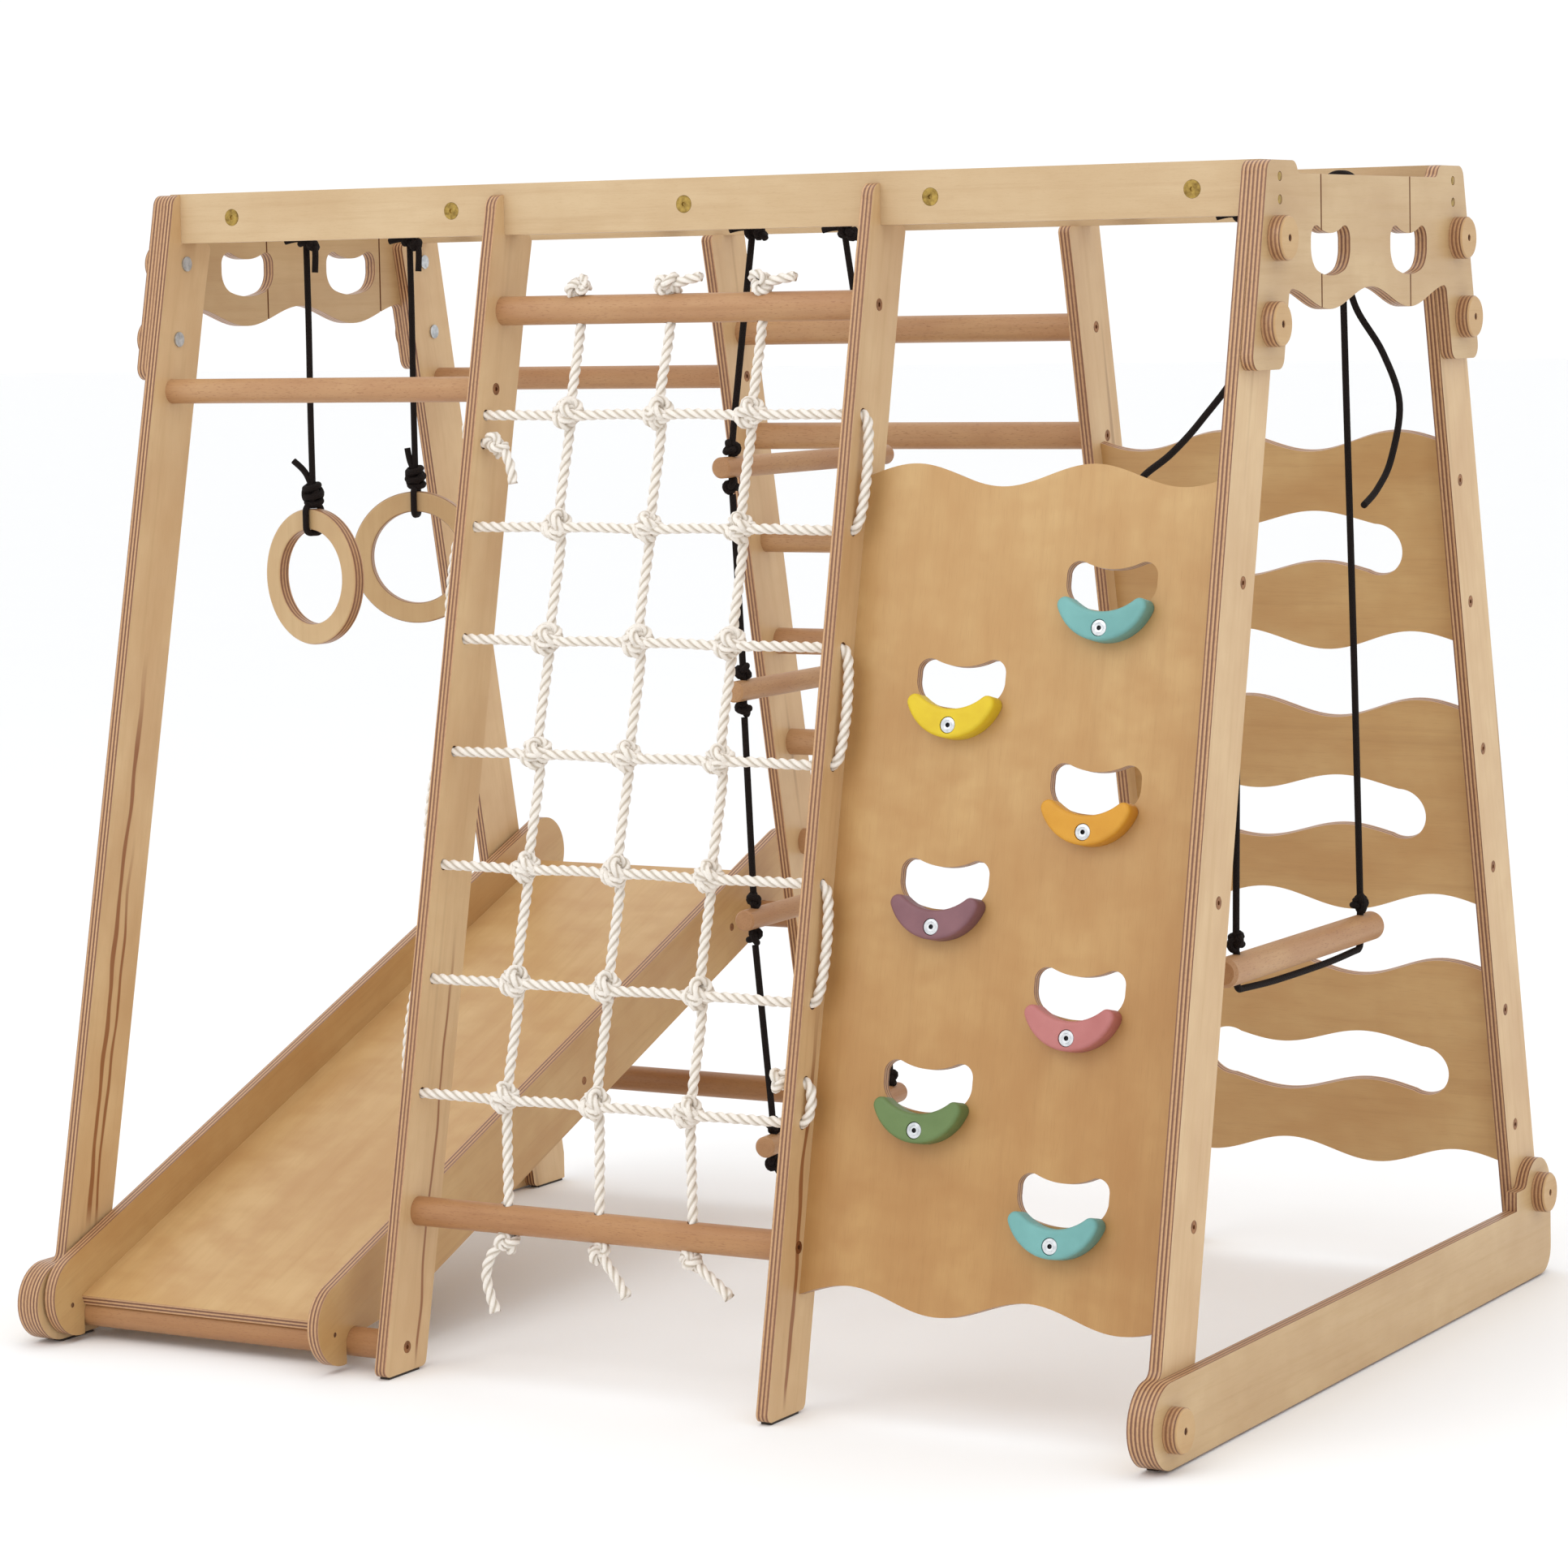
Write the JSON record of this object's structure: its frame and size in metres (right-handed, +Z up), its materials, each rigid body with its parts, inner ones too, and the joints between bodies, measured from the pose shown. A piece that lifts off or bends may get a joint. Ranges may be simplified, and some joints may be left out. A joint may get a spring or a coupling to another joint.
{
  "type": "indoor wooden climbing frame",
  "caption": "Indoor wooden climbing frame with a rock wall of coloured holds, rope net, slide, overhead bars, hanging rings, rope ladder and trapeze swing.",
  "frame": {"origin": "on the floor, under the middle of the frame's bounding box", "axes": "+X along the frame's length from the slide end to the rock wall end, +Y from the front with the net and the rock wall to the back, +Z up"},
  "size_m": [1.516, 1.16, 1.363],
  "materials": {
    "birch_ply": "light clear-varnished birch plywood, striped edges",
    "warm_ply": "clear-varnished plywood, slightly warmer, striped edges",
    "beech": "turned beech dowel, clear varnish",
    "beam_wood": "solid clear-varnished softwood beams",
    "white_rope": "white three-strand rope",
    "black_cord": "black braided cord",
    "bronze_bolt": "aged bronze-coloured bolts, flush with the wood",
    "brass_insert": "brass bolts and wood screws",
    "steel_bolt": "zinc-plated steel bolts",
    "hold_teal": "cast hold, fine texture",
    "hold_yellow": "cast hold, fine texture",
    "hold_orange": "cast hold, fine texture",
    "hold_mauve": "cast hold, fine texture",
    "hold_pink": "cast hold, fine texture",
    "hold_green": "cast hold, fine texture",
    "pad": "dark foot pad"
  },
  "bodies": {
    "frame": {"beam_front": "beam_wood", "beam_back": "beam_wood", "leg_front_1": "birch_ply", "leg_front_2": "birch_ply", "leg_front_3": "birch_ply", "leg_front_4": "birch_ply", "leg_back_1": "birch_ply", "leg_back_2": "birch_ply", "leg_back_3": "birch_ply", "leg_back_4": "birch_ply", "yoke_left": "birch_ply", "yoke_right": "birch_ply", "rail_left": "birch_ply", "rail_right": "birch_ply", "monkey_bars": "beech", "net_bar_top": "beech", "net_bar_bottom": "beech", "grab_bars": "beech", "low_bar_front": "beech", "slide_back_bars": "beech", "wall_rungs": "beech", "climbing_panel": "warm_ply", "wavy_board_top": "warm_ply", "wavy_board_middle": "warm_ply", "wavy_board_bottom": "warm_ply", "holds_teal": "hold_teal", "hold_yellow": "hold_yellow", "hold_orange": "hold_orange", "hold_mauve": "hold_mauve", "hold_pink": "hold_pink", "hold_green": "hold_green", "hold_bolts": "steel_bolt", "knobs": "warm_ply", "knob_bolts": "steel_bolt", "bar_bolts": "bronze_bolt", "beam_bolts": "brass_insert", "yoke_screws": "brass_insert", "foot_pads": "pad", "net_rows": "white_rope", "net_uprights": "white_rope", "net_knots": "white_rope"},
    "slide": {"slide_board_left": "warm_ply", "slide_board_right": "warm_ply", "slide_bed": "warm_ply", "slide_screws": "brass_insert"},
    "ring_front_swing": {"ring_front": "beech", "ring_front_cord": "black_cord"},
    "ring_back_swing": {"ring_back": "beech", "ring_back_cord": "black_cord"},
    "trapeze": {"trapeze_bar": "beech", "trapeze_cord": "black_cord", "trapeze_tails": "black_cord"},
    "ladder_top": {"ladder_cords_1": "black_cord", "ladder_rung_1": "beech"},
    "ladder_second": {"ladder_cords_2": "black_cord", "ladder_rung_2": "beech"},
    "ladder_third": {"ladder_cords_3": "black_cord", "ladder_rung_3": "beech"},
    "ladder_bottom": {"ladder_cords_4": "black_cord", "ladder_rung_4": "beech"}
  },
  "joints": [
    {"name": "slide_lift", "type": "hinge", "parent": "frame", "child": "slide", "pos_m": [0, -0.499, 0.031], "axis": [1, 0, 0], "range_deg": [0, 15]},
    {"name": "ring_front_swing", "type": "hinge", "parent": "frame", "child": "ring_front_swing", "pos_m": [-0.635, 0.028, 1.333], "axis": [0, 1, 0], "range_deg": [-30, 30]},
    {"name": "ring_back_swing", "type": "hinge", "parent": "frame", "child": "ring_back_swing", "pos_m": [-0.635, 0.028, 1.333], "axis": [0, 1, 0], "range_deg": [-30, 30]},
    {"name": "trapeze_swing", "type": "hinge", "parent": "frame", "child": "trapeze", "pos_m": [0.647, 0.028, 1.333], "axis": [0, 1, 0], "range_deg": [-20, 25]},
    {"name": "rope_ladder_swing", "type": "hinge", "parent": "frame", "child": "ladder_top", "pos_m": [0.006, 0.028, 1.333], "axis": [0, 1, 0], "range_deg": [-10, 10]},
    {"name": "rope_ladder_bend_1", "type": "hinge", "parent": "ladder_top", "child": "ladder_second", "pos_m": [0.009, 0.028, 1.005], "axis": [0, 1, 0], "range_deg": [-3, 3]},
    {"name": "rope_ladder_bend_2", "type": "hinge", "parent": "ladder_second", "child": "ladder_third", "pos_m": [0.013, 0.028, 0.743], "axis": [0, 1, 0], "range_deg": [-3, 3]},
    {"name": "rope_ladder_bend_3", "type": "hinge", "parent": "ladder_third", "child": "ladder_bottom", "pos_m": [0.018, 0.028, 0.474], "axis": [0, 1, 0], "range_deg": [-3, 3]}
  ]
}
